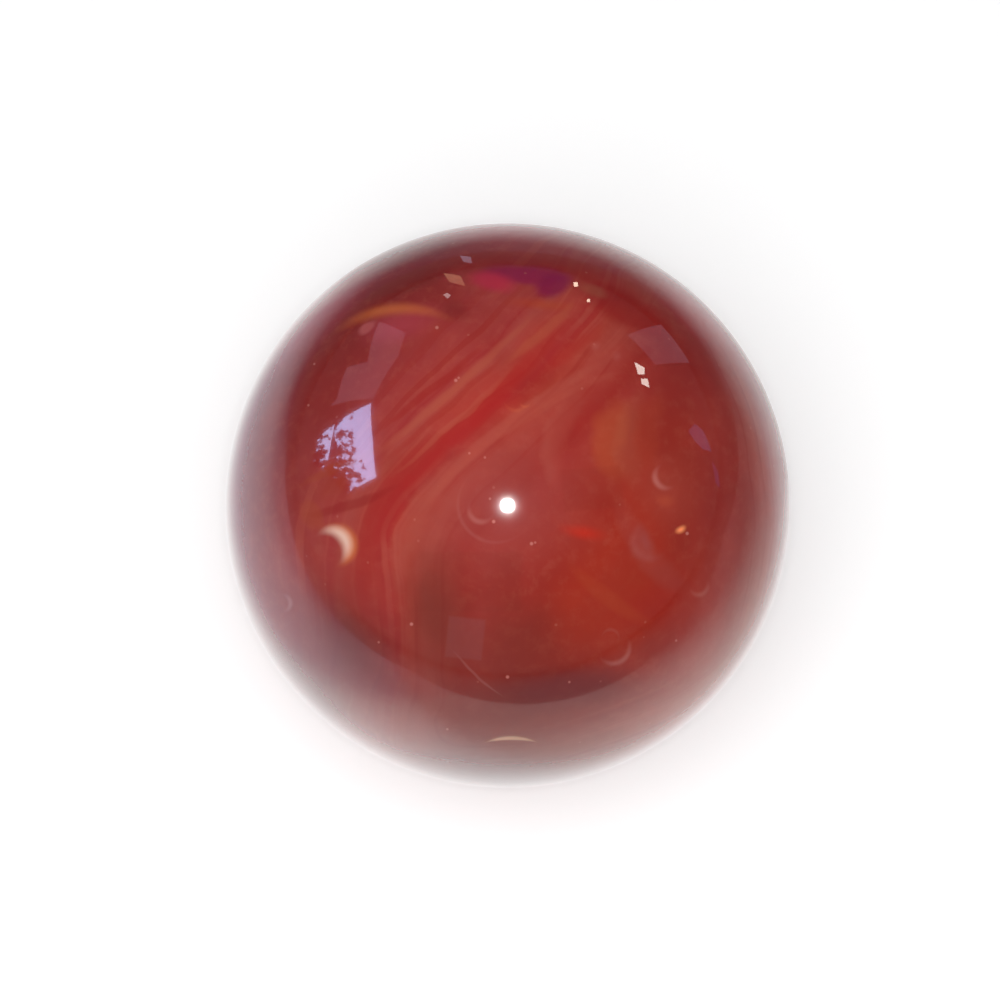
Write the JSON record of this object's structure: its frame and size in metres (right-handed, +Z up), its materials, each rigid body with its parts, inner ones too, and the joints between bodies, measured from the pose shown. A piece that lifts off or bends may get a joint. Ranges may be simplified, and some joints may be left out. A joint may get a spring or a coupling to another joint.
{
  "type": "carnelian sphere",
  "caption": "Solid polished ball of banded orange-red carnelian, one piece of stone, for display on a ring or dish stand.",
  "frame": {"origin": "centre of the ball", "axes": "+Z up through the ball's centre, away from whatever it is seated on; +X and +Y level, with -Y towards the viewer's side of the banding"},
  "size_m": [0.06, 0.06, 0.06],
  "materials": {
    "carnelian": "polished"
  },
  "bodies": {
    "root": {"sphere": "carnelian"}
  },
  "joints": []
}
